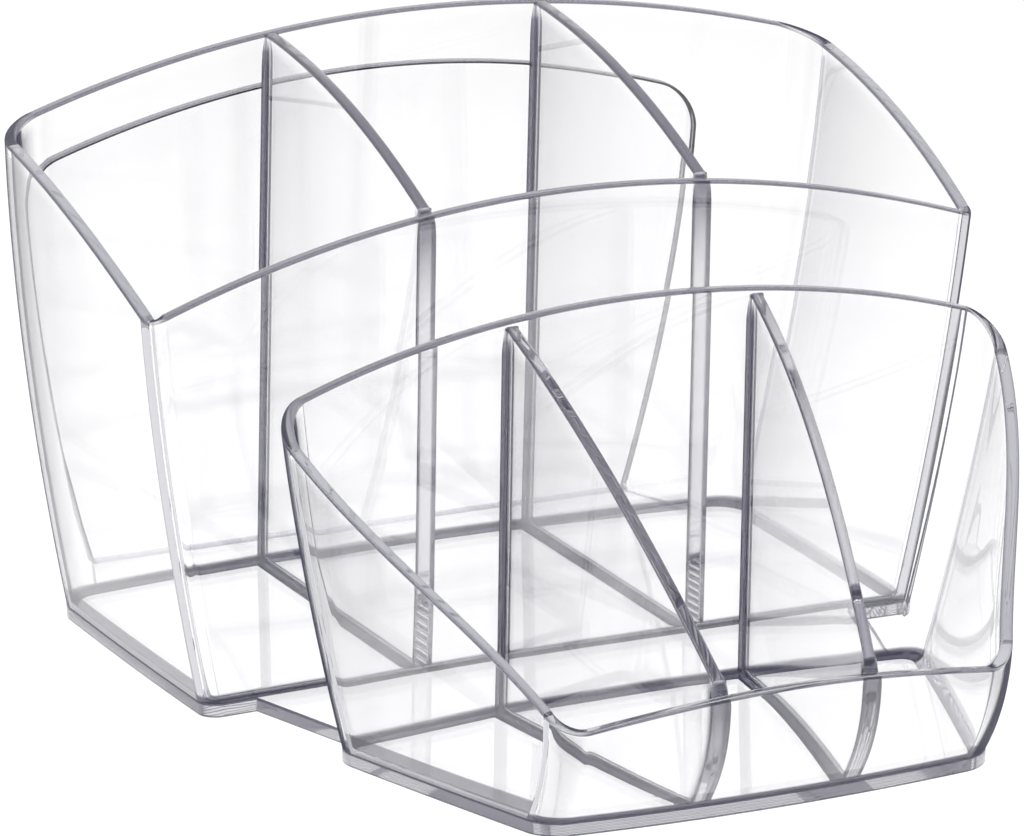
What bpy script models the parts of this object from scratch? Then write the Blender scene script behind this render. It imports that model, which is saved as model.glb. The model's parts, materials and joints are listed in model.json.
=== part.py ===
"""Clear desk organizer with eight compartments.

A tall tub with three bays stands behind a low wedge tray with three bays.
Between them is an open-ended slot, and behind the tub a second, narrower slot
is closed by a back panel. Every wall, every divider and the floor is its own
piece, seated on its neighbours with a thin seam.

Metres, +Z up, +X to the right, the low tray at the front (-Y). The origin is
on the ground, in the middle of the part's box.
"""

import math

import bmesh
import bpy
from mathutils import Vector

# Stock and seams
FLOOR_THICKNESS = 0.0023
WALL_THICKNESS = 0.0020
DIVIDER_THICKNESS = 0.0019
SEAM = 0.0003
RIM_ROUND = 0.0005
FOOT_ROUND = 0.0010

# Depths on the centre line at the foot of the walls, between wall faces
TRAY_BAY_DEPTH = 0.0476
MIDDLE_SLOT_DEPTH = 0.0214
TUB_BAY_DEPTH = 0.0599
REAR_SLOT_DEPTH = 0.0096

# Tub. Its width is over the outer faces, at the level of the highest rim. Each
# side is drawn in below by its inset, and each arch drops to the corners
TUB_HEIGHT = 0.0930
TUB_FRONT_HEIGHT = 0.0782
TUB_WIDTH = 0.1456
TUB_SIDE_BULGE = 0.0004
TUB_SIDE_INSET = 0.0120
TUB_SIDE_CURVE = 1.7
TUB_REAR_ARCH_DROP = 0.0107
TUB_FRONT_ARCH_DROP = 0.0131
TUB_RIM_SWELL = 0.0032
TUB_FRONT_LEAN = 0.0030
TUB_REAR_LEAN = 0.0052
TUB_FRONT_FOOT_BOW = 0.0013
TUB_FRONT_RIM_BOW = 0.0021
TUB_REAR_FOOT_BOW = 0.0044
TUB_REAR_RIM_BOW = 0.0046
TUB_FRONT_CORNER = 0.0040
TUB_REAR_CORNER = 0.0080
TUB_DIVIDER_SPACING = 0.0474

# Wedge tray, stepped in from the tub's sides at its rear wall
TRAY_HEIGHT = 0.0670
TRAY_FRONT_HEIGHT = 0.0219
TRAY_STEP_IN = 0.0095
TRAY_FRONT_WIDTH = 0.0752
TRAY_SIDE_INSET = 0.0120
TRAY_SIDE_CURVE = 1.4
TRAY_SIDE_BULGE = 0.0064
TRAY_REAR_ARCH_DROP = 0.0083
TRAY_FRONT_ARCH_DROP = 0.0080
TRAY_RIM_SWELL = 0.0054
TRAY_REAR_LEAN = 0.0025
TRAY_LIP_OVERHANG = 0.0097
TRAY_FRONT_CURVE = 2.2
TRAY_REAR_BOW = 0.0036
TRAY_FRONT_FOOT_BOW = 0.0023
TRAY_FRONT_RIM_BOW = 0.0032
TRAY_REAR_CORNER = 0.0060
TRAY_FRONT_CORNER = 0.0040
TRAY_DIVIDER_REAR_SPACING = 0.0417
TRAY_DIVIDER_FRONT_SPACING = 0.0252
TRAY_DIVIDER_BOW = 0.0010

# Back panel, stepped in from the tub's sides too
PANEL_HEIGHT = 0.0796
PANEL_STEP_IN = 0.0122
PANEL_SIDE_INSET = 0.0135
PANEL_SIDE_CURVE = 1.6
PANEL_ARCH_DROP = 0.0110
PANEL_CORNER = 0.0065

# Floor outline beside the open slots, measured in from the tub's corners
MIDDLE_SLOT_EDGE_INSET = 0.0087
REAR_SLOT_EDGE_INSET = 0.0088

# Sampling of the curved walls
WALL_ROWS = 5
LONG_COLUMNS = 14
SIDE_COLUMNS = 9
CORNER_COLUMNS = 3
DIVIDER_COLUMNS = 9
RIM_SEGMENTS = 2
RIM_SEARCH_STEPS = 12

SHARP_ANGLE = math.radians(40)
CLEAR_COLOUR = (0.93, 0.94, 0.96, 1.0)
CLEAR_ROUGHNESS = 0.04
CLEAR_IOR = 1.59
QUARTER_CIRCLE_HANDLE = 0.5523

# Widths over the outer faces of the tray and the panel
TRAY_REAR_WIDTH = TUB_WIDTH - 2 * TRAY_STEP_IN
PANEL_WIDTH = TUB_WIDTH - 2 * PANEL_STEP_IN

# Places along Y of the outer faces at the foot of each wall
DEPTH = (TRAY_LIP_OVERHANG + TRAY_BAY_DEPTH + MIDDLE_SLOT_DEPTH + TUB_BAY_DEPTH
         + REAR_SLOT_DEPTH + 5 * WALL_THICKNESS)
TRAY_FRONT_FOOT = TRAY_LIP_OVERHANG - DEPTH / 2
TRAY_REAR_FOOT = TRAY_FRONT_FOOT + TRAY_BAY_DEPTH + 2 * WALL_THICKNESS
TUB_FRONT_FOOT = TRAY_REAR_FOOT + MIDDLE_SLOT_DEPTH
TUB_REAR_FOOT = TUB_FRONT_FOOT + TUB_BAY_DEPTH + 2 * WALL_THICKNESS
PANEL_BACK = DEPTH / 2
WALL_FOOT = FLOOR_THICKNESS + SEAM


def mix(start, end, share):
    """The value or vector a share of the way from start to end."""
    return start + (end - start) * share


def taper_share(height, full_height, exponent):
    """0 at the full height, 1 at the ground, slow at first and faster below."""
    depth = max(0.0, 1.0 - height / full_height)
    return depth ** exponent


class Tub:
    """The rear box: where its four outer faces and its rim lie."""

    front_corner = TUB_FRONT_CORNER
    rear_corner = TUB_REAR_CORNER

    @staticmethod
    def half_widths(height):
        """Half the width at the front and at the rear."""
        half = TUB_WIDTH / 2 - TUB_SIDE_INSET * taper_share(height, TUB_HEIGHT, TUB_SIDE_CURVE)
        return half, half

    @staticmethod
    def side_bulge(height):
        return TUB_SIDE_BULGE

    @staticmethod
    def front(height):
        """Centre Y of the front face, and how far its ends lie ahead of it."""
        share = height / TUB_FRONT_HEIGHT
        bow = mix(TUB_FRONT_FOOT_BOW, TUB_FRONT_RIM_BOW, min(1.0, share))
        return TUB_FRONT_FOOT - TUB_FRONT_LEAN * share, bow

    @staticmethod
    def rear(height):
        share = height / TUB_HEIGHT
        bow = mix(TUB_REAR_FOOT_BOW, TUB_REAR_RIM_BOW, share)
        return TUB_REAR_FOOT - TUB_REAR_LEAN * share, bow

    @staticmethod
    def rim(x, y):
        """Height of the rim over a point in plan."""
        front_y = Tub.front(TUB_FRONT_HEIGHT)[0]
        rear_y = Tub.rear(TUB_HEIGHT)[0]
        share = max(0.0, min(1.0, (y - front_y) / (rear_y - front_y)))
        across = (2 * x / TUB_WIDTH) ** 2
        front = TUB_FRONT_HEIGHT - TUB_FRONT_ARCH_DROP * across
        rear = TUB_HEIGHT - TUB_REAR_ARCH_DROP * across
        return mix(front, rear, share) + TUB_RIM_SWELL * 4 * share * (1 - share)


class Tray:
    """The wedge in front: narrower at its lip, with a rim that falls to it."""

    front_corner = TRAY_FRONT_CORNER
    rear_corner = TRAY_REAR_CORNER

    @staticmethod
    def half_widths(height):
        inset = TRAY_SIDE_INSET * taper_share(height, TRAY_HEIGHT, TRAY_SIDE_CURVE)
        return TRAY_FRONT_WIDTH / 2, TRAY_REAR_WIDTH / 2 - inset

    @staticmethod
    def side_bulge(height):
        return TRAY_SIDE_BULGE * height / TRAY_HEIGHT

    @staticmethod
    def front(height):
        share = 1.0 - taper_share(height, TRAY_FRONT_HEIGHT, TRAY_FRONT_CURVE)
        bow = mix(TRAY_FRONT_FOOT_BOW, TRAY_FRONT_RIM_BOW, share)
        return TRAY_FRONT_FOOT - TRAY_LIP_OVERHANG * share, -bow

    @staticmethod
    def rear(height):
        return TRAY_REAR_FOOT - TRAY_REAR_LEAN * height / TRAY_HEIGHT, TRAY_REAR_BOW

    @staticmethod
    def rim(x, y):
        front_y = Tray.front(TRAY_FRONT_HEIGHT)[0]
        rear_y = Tray.rear(TRAY_HEIGHT)[0]
        share = max(0.0, min(1.0, (y - front_y) / (rear_y - front_y)))
        front = TRAY_FRONT_HEIGHT - TRAY_FRONT_ARCH_DROP * (2 * x / TRAY_FRONT_WIDTH) ** 2
        rear = TRAY_HEIGHT - TRAY_REAR_ARCH_DROP * (2 * x / TRAY_REAR_WIDTH) ** 2
        return mix(front, rear, share) + TRAY_RIM_SWELL * 4 * share * (1 - share)


def bowed_edge(start, end, bow, share):
    """A point on a shallow arc from start to end, bowed to the right of the way."""
    along = end - start
    side = Vector((along.y, -along.x)).normalized()
    return mix(start, end, share) + side * (bow * 4 * share * (1 - share))


def outline(box, height):
    """The outer face of a four-walled box at one height, as a closed loop.

    It starts at the left end of the front wall and runs to the right. The
    straight runs take LONG_COLUMNS or SIDE_COLUMNS steps and each rounded
    corner CORNER_COLUMNS.
    """
    front_half, rear_half = box.half_widths(height)
    front_y, front_bow = box.front(height)
    rear_y, rear_bow = box.rear(height)
    corners = [Vector((-front_half, front_y - front_bow)),
               Vector((front_half, front_y - front_bow)),
               Vector((rear_half, rear_y - rear_bow)),
               Vector((-rear_half, rear_y - rear_bow))]
    bulge = box.side_bulge(height)
    bows = (-front_bow, bulge, rear_bow, bulge)
    radii = (box.front_corner, box.front_corner, box.rear_corner, box.rear_corner)
    steps = (LONG_COLUMNS, SIDE_COLUMNS, LONG_COLUMNS, SIDE_COLUMNS)

    runs = []
    for index in range(4):
        start, end = corners[index], corners[(index + 1) % 4]
        length = (end - start).length
        first = radii[index] / length
        last = 1.0 - radii[(index + 1) % 4] / length
        shares = [mix(first, last, step / steps[index]) for step in range(steps[index] + 1)]
        runs.append([bowed_edge(start, end, bows[index], share) for share in shares])

    loop = []
    for index in range(4):
        run, following = runs[index], runs[(index + 1) % 4]
        loop += run[:-1]
        leave = (run[-1] - run[-2]).normalized()
        arrive = (following[1] - following[0]).normalized()
        handle = QUARTER_CIRCLE_HANDLE * radii[(index + 1) % 4]
        points = (run[-1], run[-1] + leave * handle,
                  following[0] - arrive * handle, following[0])
        for step in range(CORNER_COLUMNS):
            loop.append(bezier(points, step / CORNER_COLUMNS))
    return loop


def bezier(points, share):
    """A point on a cubic Bezier curve."""
    rest = 1 - share
    return (points[0] * rest ** 3 + points[1] * (3 * rest ** 2 * share)
            + points[2] * (3 * rest * share ** 2) + points[3] * share ** 3)


def station(box, index, height, shift=0.0):
    """A point of the outline, moved along it, with its inward direction."""
    loop = outline(box, height)
    before = loop[(index - 1) % len(loop)]
    here = loop[index % len(loop)]
    after = loop[(index + 1) % len(loop)]
    along = (after - before).normalized()
    return here + along * shift, Vector((-along.y, along.x))


def rim_height(box, index, shift=0.0):
    """Height at which the outer face meets the rim, found by repetition."""
    height = TUB_HEIGHT
    for _ in range(RIM_SEARCH_STEPS):
        point, _inward = station(box, index, height, shift)
        height = box.rim(point.x, point.y)
    return height


def clear_material(name):
    material = bpy.data.materials.new(name)
    material.use_nodes = True
    shader = material.node_tree.nodes["Principled BSDF"]
    shader.inputs["Base Color"].default_value = CLEAR_COLOUR
    shader.inputs["Roughness"].default_value = CLEAR_ROUGHNESS
    shader.inputs["Metallic"].default_value = 0.0
    shader.inputs["IOR"].default_value = CLEAR_IOR
    shader.inputs["Transmission Weight"].default_value = 1.0
    return material


def finish(name, bm):
    """Turn a bmesh into a named, smooth-shaded object with its own material."""
    bmesh.ops.recalc_face_normals(bm, faces=bm.faces)
    mesh = bpy.data.meshes.new(name)
    bm.to_mesh(mesh)
    bm.free()
    mesh.shade_smooth()
    mesh.set_sharp_from_angle(angle=SHARP_ANGLE)
    mesh.materials.append(clear_material(name))
    piece = bpy.data.objects.new(name, mesh)
    bpy.context.scene.collection.objects.link(piece)
    return piece


def plate(name, columns, rows, outer, inner, rounded_ends=False):
    """A curved plate: a grid on its outer face, extruded to its inner face.

    outer and inner give the place of a grid point by column and row. The top
    edges are rounded, and with rounded_ends the two end edges as well.
    """
    bm = bmesh.new()
    bmesh.ops.create_grid(bm, x_segments=columns, y_segments=rows, size=1)
    column_of = bm.verts.layers.int.new("column")
    row_of = bm.verts.layers.int.new("row")
    for vert in bm.verts:
        vert[column_of] = round((vert.co.x + 1) / 2 * columns)
        vert[row_of] = round((vert.co.y + 1) / 2 * rows)
        vert.co = outer(vert[column_of], vert[row_of])
    extruded = bmesh.ops.extrude_face_region(bm, geom=bm.faces[:])
    inner_verts = [item for item in extruded["geom"] if isinstance(item, bmesh.types.BMVert)]
    for vert in inner_verts:
        vert.co = inner(vert[column_of], vert[row_of])

    inner_set = set(inner_verts)
    free_edges = []
    for edge in bm.edges:
        first, second = edge.verts
        if (first in inner_set) != (second in inner_set):
            continue
        if first[row_of] == second[row_of] == rows:
            free_edges.append(edge)
        elif rounded_ends and first[column_of] == second[column_of] in (0, columns):
            free_edges.append(edge)
    bmesh.ops.bevel(bm, geom=free_edges, offset=RIM_ROUND, segments=RIM_SEGMENTS,
                    profile=0.5, affect="EDGES", clamp_overlap=True)
    return finish(name, bm)


def box_wall(name, box, first, last):
    """One wall of the tub or the tray, between two stations of its outline."""
    columns = last - first

    def place(column, row, depth):
        index = first + column
        shift = 0.0
        if column == 0:
            shift = SEAM / 2
        elif column == columns:
            shift = -SEAM / 2
        top = rim_height(box, index, shift)
        height = mix(WALL_FOOT, top, row / WALL_ROWS)
        point, inward = station(box, index, height, shift)
        point = point + inward * depth
        return Vector((point.x, point.y, height))

    return plate(name, columns, WALL_ROWS,
                 lambda column, row: place(column, row, 0.0),
                 lambda column, row: place(column, row, WALL_THICKNESS))


def four_walls(prefix, box):
    """Front and rear walls with their rounded corners, and the sides between."""
    right_side = LONG_COLUMNS + CORNER_COLUMNS
    rear_corner = right_side + SIDE_COLUMNS
    left_side = rear_corner + CORNER_COLUMNS + LONG_COLUMNS + CORNER_COLUMNS
    front_corner = left_side + SIDE_COLUMNS
    whole_loop = front_corner + CORNER_COLUMNS
    box_wall(prefix + "_front_wall", box, front_corner - whole_loop, right_side)
    box_wall(prefix + "_right_wall", box, right_side, rear_corner)
    box_wall(prefix + "_rear_wall", box, rear_corner, left_side)
    box_wall(prefix + "_left_wall", box, left_side, front_corner)


def face_y(box, wall, x, height):
    """Y of the outer face of the front or rear wall at a place across it."""
    half = box.half_widths(height)[0 if wall == "front" else 1]
    centre, bow = getattr(box, wall)(height)
    return centre - bow * (x / half) ** 2


def divider(name, box, place_x):
    """An upright plate from the front wall to the rear wall of a box.

    place_x gives the X of its middle at a share of the way to the rear.
    """
    def place(column, row, side):
        share = column / DIVIDER_COLUMNS
        x = place_x(share) + side * DIVIDER_THICKNESS / 2

        def y_at(height):
            front = face_y(box, "front", x, height) + WALL_THICKNESS + SEAM
            rear = face_y(box, "rear", x, height) - WALL_THICKNESS - SEAM
            return mix(front, rear, share)

        top = TUB_HEIGHT
        for _ in range(RIM_SEARCH_STEPS):
            top = box.rim(place_x(share), y_at(top))
        height = mix(WALL_FOOT, top, row / WALL_ROWS)
        return Vector((x, y_at(height), height))

    return plate(name, DIVIDER_COLUMNS, WALL_ROWS,
                 lambda column, row: place(column, row, -1),
                 lambda column, row: place(column, row, 1))


def tub_dividers():
    for name, side in (("tub_left_divider", -1), ("tub_right_divider", 1)):
        x = side * TUB_DIVIDER_SPACING / 2
        divider(name, Tub, lambda share, x=x: x)


def tray_dividers():
    """They stand closer together at the lip and bow outwards a little."""
    for name, side in (("tray_left_divider", -1), ("tray_right_divider", 1)):
        def place_x(share, side=side):
            half = mix(TRAY_DIVIDER_FRONT_SPACING, TRAY_DIVIDER_REAR_SPACING, share) / 2
            return side * (half + TRAY_DIVIDER_BOW * 4 * share * (1 - share))
        divider(name, Tray, place_x)


def back_panel():
    """A flat panel with an arched top, round shoulders and tapering sides."""
    def half_width(height):
        share = taper_share(height, PANEL_HEIGHT - PANEL_ARCH_DROP, PANEL_SIDE_CURVE)
        return PANEL_WIDTH / 2 - PANEL_SIDE_INSET * share

    shoulder = PANEL_WIDTH / 2 - PANEL_CORNER
    tops = []
    for step in range(CORNER_COLUMNS, 0, -1):
        angle = math.radians(90) * step / CORNER_COLUMNS
        tops.append((-shoulder - PANEL_CORNER * math.sin(angle),
                     PANEL_CORNER * (1 - math.cos(angle))))
    for step in range(LONG_COLUMNS + 1):
        tops.append((mix(-shoulder, shoulder, step / LONG_COLUMNS), 0.0))
    tops += [(-x, drop) for x, drop in reversed(tops[:CORNER_COLUMNS])]

    def place(column, row, y):
        x, drop = tops[column]
        across = 2 * x / PANEL_WIDTH
        arch = PANEL_HEIGHT - PANEL_ARCH_DROP * across ** 2
        height = mix(WALL_FOOT, arch - drop, row / WALL_ROWS)
        return Vector((across * half_width(height), y, height))

    return plate("back_panel", len(tops) - 1, WALL_ROWS,
                 lambda column, row: place(column, row, PANEL_BACK - WALL_THICKNESS),
                 lambda column, row: place(column, row, PANEL_BACK), rounded_ends=True)


def floor_outline():
    """The floor's edge, under the walls and along the ends of both slots.

    Only the right half is worked out, from the lip to the rear edge.
    """
    tray = outline(Tray, FLOOR_THICKNESS)
    tub = outline(Tub, FLOOR_THICKNESS)
    right_corner = LONG_COLUMNS + CORNER_COLUMNS + SIDE_COLUMNS
    half = tray[LONG_COLUMNS // 2:right_corner + CORNER_COLUMNS]

    front_half, rear_half = Tub.half_widths(FLOOR_THICKNESS)
    slot_x = front_half - MIDDLE_SLOT_EDGE_INSET
    half.append(Vector((slot_x, face_y(Tub, "front", slot_x, FLOOR_THICKNESS))))
    half += tub[LONG_COLUMNS:right_corner + CORNER_COLUMNS]
    slot_x = rear_half - REAR_SLOT_EDGE_INSET
    half.append(Vector((slot_x, face_y(Tub, "rear", slot_x, FLOOR_THICKNESS))))
    half.append(Vector((PANEL_WIDTH / 2 - PANEL_SIDE_INSET, PANEL_BACK)))
    return half + [Vector((-point.x, point.y)) for point in reversed(half[1:])]


def floor():
    """One flat plate under everything, its lower edge rounded."""
    bm = bmesh.new()
    verts = [bm.verts.new((point.x, point.y, 0.0)) for point in floor_outline()]
    bm.faces.new(verts)
    extruded = bmesh.ops.extrude_face_region(bm, geom=bm.faces[:])
    raised = [item for item in extruded["geom"] if isinstance(item, bmesh.types.BMVert)]
    bmesh.ops.translate(bm, verts=raised, vec=(0.0, 0.0, FLOOR_THICKNESS))
    lower_edges = [edge for edge in bm.edges if all(vert not in raised for vert in edge.verts)]
    bmesh.ops.bevel(bm, geom=lower_edges, offset=FOOT_ROUND, segments=RIM_SEGMENTS,
                    profile=0.5, affect="EDGES", clamp_overlap=False)
    return finish("floor", bm)


def main():
    for old in list(bpy.data.objects):
        bpy.data.objects.remove(old, do_unlink=True)
    floor()
    four_walls("tub", Tub)
    tub_dividers()
    four_walls("tray", Tray)
    tray_dividers()
    back_panel()


main()
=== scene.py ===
"""Looks of a clear desk organizer: smooth moulded walls, clear plastic, studio.

Every wall, divider and panel is first a curved sheet, its outer face, worked
out from the rules of the organizer's shape. A Geometry Nodes tree then closes
the sheet into a solid plate with rounded free edges. The floor is an outline,
raised and bevelled. Metres, +Z up, the low tray at the front (-Y).

The plastic reads two values of its points. gather is the share of the
grey violet painted shade on its edges, feet, corners and faces, and well past
1 it turns to an opaque painted dark. turn is 1 on a rounded corner, whose
outline gets painted shade where it is seen edge on.
"""

import json
import math

import bmesh
import bpy
import numpy as np
from mathutils import Vector
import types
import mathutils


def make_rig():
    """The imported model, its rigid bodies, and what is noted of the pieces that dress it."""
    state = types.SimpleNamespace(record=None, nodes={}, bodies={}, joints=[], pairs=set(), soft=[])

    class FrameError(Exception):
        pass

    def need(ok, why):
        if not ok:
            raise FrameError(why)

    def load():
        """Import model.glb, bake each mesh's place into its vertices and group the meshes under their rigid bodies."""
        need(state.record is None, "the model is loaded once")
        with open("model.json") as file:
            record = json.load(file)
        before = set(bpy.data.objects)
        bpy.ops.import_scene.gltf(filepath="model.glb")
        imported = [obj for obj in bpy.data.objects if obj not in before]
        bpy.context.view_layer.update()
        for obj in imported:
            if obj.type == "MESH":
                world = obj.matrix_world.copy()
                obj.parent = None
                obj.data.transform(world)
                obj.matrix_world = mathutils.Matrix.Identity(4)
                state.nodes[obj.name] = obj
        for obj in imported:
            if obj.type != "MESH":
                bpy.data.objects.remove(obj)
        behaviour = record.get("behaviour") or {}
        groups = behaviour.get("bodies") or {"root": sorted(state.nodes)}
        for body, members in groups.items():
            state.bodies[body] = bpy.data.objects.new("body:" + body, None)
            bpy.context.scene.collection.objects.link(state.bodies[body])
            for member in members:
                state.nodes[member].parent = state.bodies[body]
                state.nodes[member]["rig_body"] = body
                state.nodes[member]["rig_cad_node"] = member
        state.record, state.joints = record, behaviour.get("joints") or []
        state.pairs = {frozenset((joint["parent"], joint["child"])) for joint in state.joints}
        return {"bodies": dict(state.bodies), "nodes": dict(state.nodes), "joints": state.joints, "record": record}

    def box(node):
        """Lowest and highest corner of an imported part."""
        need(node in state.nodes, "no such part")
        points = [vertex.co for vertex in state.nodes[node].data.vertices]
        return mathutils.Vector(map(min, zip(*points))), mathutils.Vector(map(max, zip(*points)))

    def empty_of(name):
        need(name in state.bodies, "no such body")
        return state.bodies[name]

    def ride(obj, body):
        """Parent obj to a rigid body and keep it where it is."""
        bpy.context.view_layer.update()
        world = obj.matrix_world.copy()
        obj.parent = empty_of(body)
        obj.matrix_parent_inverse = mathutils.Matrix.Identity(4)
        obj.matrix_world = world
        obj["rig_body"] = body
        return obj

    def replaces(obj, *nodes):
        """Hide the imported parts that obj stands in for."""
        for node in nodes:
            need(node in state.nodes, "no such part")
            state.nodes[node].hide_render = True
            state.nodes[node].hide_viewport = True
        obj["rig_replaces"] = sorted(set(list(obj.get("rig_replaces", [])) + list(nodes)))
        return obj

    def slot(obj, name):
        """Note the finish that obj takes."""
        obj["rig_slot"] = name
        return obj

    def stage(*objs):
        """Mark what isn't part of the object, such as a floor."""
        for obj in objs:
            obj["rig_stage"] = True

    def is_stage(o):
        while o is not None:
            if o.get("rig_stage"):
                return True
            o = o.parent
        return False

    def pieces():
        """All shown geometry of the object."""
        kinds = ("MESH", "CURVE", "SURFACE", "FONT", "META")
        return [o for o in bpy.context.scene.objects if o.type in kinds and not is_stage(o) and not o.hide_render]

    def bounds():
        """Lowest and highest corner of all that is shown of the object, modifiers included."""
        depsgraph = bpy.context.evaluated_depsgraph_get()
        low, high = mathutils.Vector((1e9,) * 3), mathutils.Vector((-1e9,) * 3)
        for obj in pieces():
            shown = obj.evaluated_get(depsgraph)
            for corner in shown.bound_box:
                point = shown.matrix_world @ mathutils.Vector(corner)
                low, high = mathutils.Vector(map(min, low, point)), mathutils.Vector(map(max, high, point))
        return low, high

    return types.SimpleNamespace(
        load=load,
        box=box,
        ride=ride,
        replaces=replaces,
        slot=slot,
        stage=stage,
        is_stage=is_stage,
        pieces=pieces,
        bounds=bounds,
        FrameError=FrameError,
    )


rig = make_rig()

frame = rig.load()
CAD_BOX = [list(corner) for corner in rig.bounds()]

bl_info = {
    "name": "Clear desk organizer",
    "version": (1, 0, 0),
    "blender": (4, 5, 0),
    "location": "3D View > Sidebar > Organizer",
    "description": "Builds the smooth clear walls of a desk organizer and its studio",
    "category": "Add Mesh",
}

IMAGE_WIDTH = 1024
SENSOR_WIDTH = 36.0
FLOOR_POINTS = 96
WHITE = (1.0, 1.0, 1.0, 1.0)

# Places round a box of four walls, as FourWalls counts them
PLACES_ROUND = 8
FRONT_MIDDLE, FRONT_END, REAR_START = 0.5, 1, 4
RIGHT_SIDE, LEFT_SIDE = 2, 6
WALLS = (("front_wall", -1, 2), ("right_wall", RIGHT_SIDE, 3), ("rear_wall", 3, 6),
         ("left_wall", LEFT_SIDE, 7))

# Shapes
QUARTER_CIRCLE_HANDLE = 0.5523
ARC_PROFILE = 0.5
RIM_SEARCH_STEPS = 8
TANGENT_STEP = 0.002
UPRIGHT_LIMIT = 0.1

# How the painted shade spreads
SOFT_SHADE_POWER = 2
CORE_POWER = 4.0
END_POWER = 0.5
STROKE_SLOPE = 3.0
TURN_SLOPE = 3.0
# Marks the seam ends, which get a painted glow
SEAM_MARK = -1.0
NO_GLOSS = 1.0


def node_top(node):
    """Height of a CAD node's highest point."""
    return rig.box(node)[1].z


def maker(kind, **fixed):
    """A function that makes properties of one kind."""
    def make(label, default, description):
        return kind(name=label, default=default, description=description, **fixed)
    return make


length = maker(bpy.props.FloatProperty, min=0.0, precision=5, subtype="DISTANCE", unit="LENGTH")
place_y = maker(bpy.props.FloatProperty, precision=5, unit="LENGTH")
angle = maker(bpy.props.FloatProperty, subtype="ANGLE", unit="ROTATION")
number = maker(bpy.props.FloatProperty, min=0.0, precision=3)
count = maker(bpy.props.IntProperty, min=2)
spot = maker(bpy.props.FloatVectorProperty, subtype="TRANSLATION", unit="LENGTH", precision=4)
colour = maker(bpy.props.FloatVectorProperty, size=4, min=0.0, max=1.0, subtype="COLOR")
four_shares = maker(bpy.props.FloatVectorProperty, size=4, min=0.0, max=1.0)


def settings(kind):
    """The scene's properties of one kind, such as its stock or its look."""
    return getattr(bpy.context.scene, "organizer_" + kind)


def mix(start, end, share):
    """The value a share of the way from start to end."""
    return start + (end - start) * share


def hump(share):
    """A parabola along a run: 0 at its ends and 1 in its middle."""
    return 4 * share * (1 - share)


def taper(height, full_height, exponent):
    """0 at the full height, 1 at the ground, slow at first and faster below."""
    return np.clip(1.0 - height / full_height, 0.0, None) ** exponent


def fade(distance, reach):
    """1 at an edge, falling evenly to 0 at a reach from it."""
    return np.clip(1.0 - distance / reach, 0.0, 1.0)


def stroke(distance, reach):
    """1 close by, falling to 0 over the last third of a reach."""
    return np.minimum(STROKE_SLOPE * fade(distance, reach), 1.0)


def border(distance):
    """0 at an edge, rising to 1 where the pale border beside it ends, a painted highlight where the painted shade is
    held back.
    """
    return np.clip(distance / settings("look").border, 0.0, 1.0)


def haze(distance):
    """The faint painted shade that fades out from an edge over a face."""
    look = settings("look")
    return look.haze * fade(distance, look.haze_reach) ** SOFT_SHADE_POWER * border(distance)


def rear_shade(share, rise):
    """Faint painted shade of a plate that runs from front to rear, strongest at its upper rear."""
    look = settings("look")
    return look.side_haze * share ** SOFT_SHADE_POWER * mix(look.low_haze, 1.0, rise)


def strongest(*tints):
    """The strongest of several painted shades at each point."""
    return np.maximum.reduce(tints)


def unit(vectors):
    """Vectors of the same directions, a unit long."""
    return vectors / np.linalg.norm(vectors, axis=-1)[..., None]


def turned_right(vectors):
    """Level vectors, turned a quarter to the right."""
    return np.stack([vectors[..., 1], -vectors[..., 0]], -1)


def split_place(place):
    """The segment of a box that a place lies in, and its share of the way along it."""
    whole = np.floor(place)
    return whole.astype(int) % PLACES_ROUND, place - whole


def bell(place):
    """0 on the runs, rising to 1 in the middle of each rounded corner."""
    segment, share = split_place(place)
    return np.where(segment % 2, np.sin(math.pi * share), 0.0)


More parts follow.
